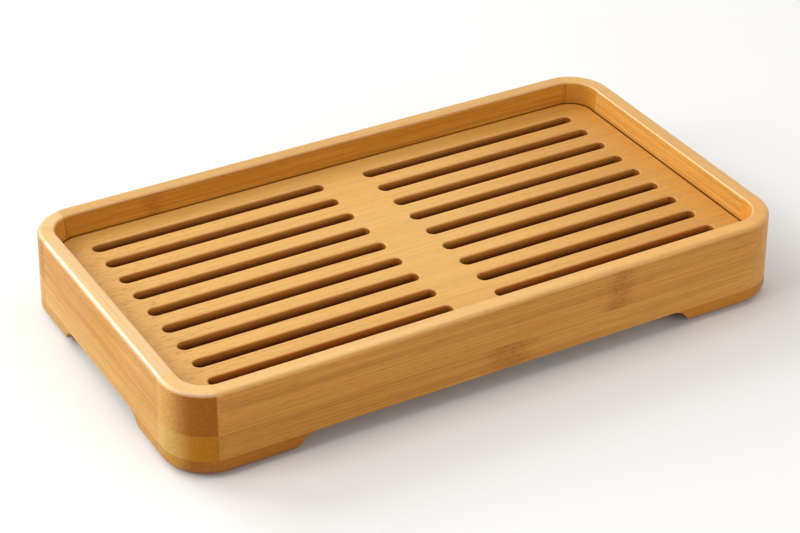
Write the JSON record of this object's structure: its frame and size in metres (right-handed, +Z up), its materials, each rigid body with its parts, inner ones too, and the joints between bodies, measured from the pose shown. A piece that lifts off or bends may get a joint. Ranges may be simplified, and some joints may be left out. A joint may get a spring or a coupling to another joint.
{
  "type": "gongfu tea tray",
  "caption": "Low rounded bamboo tea tray with a raised rim, a slotted drain panel that lifts out, a drip tray under it and corner feet.",
  "frame": {"origin": "on the table, under the middle of the tray", "axes": "+X along the tray's long side, +Y towards its back, +Z up"},
  "size_m": [0.2866, 0.1582, 0.0392],
  "materials": {
    "rim_bamboo": "satin lacquer",
    "rail_bamboo": "satin lacquer",
    "foot_bamboo": "satin lacquer",
    "panel_bamboo": "satin lacquer",
    "board_bamboo": "matt, lightly sealed",
    "dowel_bamboo": "bare",
    "drip_tray_plastic": "fine grained matt",
    "pad_rubber": "soft matt",
    "screw_steel": "yellow zinc plated"
  },
  "bodies": {
    "frame": {"front_rail_upper": "rim_bamboo", "back_rail_upper": "rim_bamboo", "left_rail_upper": "rim_bamboo", "right_rail_upper": "rim_bamboo", "front_left_corner_upper": "rim_bamboo", "front_right_corner_upper": "rim_bamboo", "back_left_corner_upper": "rim_bamboo", "back_right_corner_upper": "rim_bamboo", "front_rail_lower": "rail_bamboo", "back_rail_lower": "rail_bamboo", "left_rail_lower": "rail_bamboo", "right_rail_lower": "rail_bamboo", "front_left_corner_lower": "rail_bamboo", "front_right_corner_lower": "rail_bamboo", "back_left_corner_lower": "rail_bamboo", "back_right_corner_lower": "rail_bamboo", "front_left_foot": "foot_bamboo", "front_right_foot": "foot_bamboo", "back_left_foot": "foot_bamboo", "back_right_foot": "foot_bamboo", "front_left_foot_pad": "pad_rubber", "front_right_foot_pad": "pad_rubber", "back_left_foot_pad": "pad_rubber", "back_right_foot_pad": "pad_rubber", "base_board": "board_bamboo", "base_screws": "screw_steel", "corner_dowels": "dowel_bamboo"},
    "liner": {"drip_tray": "drip_tray_plastic"},
    "panel": {"drain_panel": "panel_bamboo"}
  },
  "joints": [
    {"name": "drip_tray_lift", "type": "slide", "parent": "frame", "child": "liner", "axis": [0, 0, 1], "range_m": [0, 0.06]},
    {"name": "drain_panel_lift", "type": "slide", "parent": "liner", "child": "panel", "axis": [0, 0, 1], "range_m": [0, 0.06]}
  ]
}
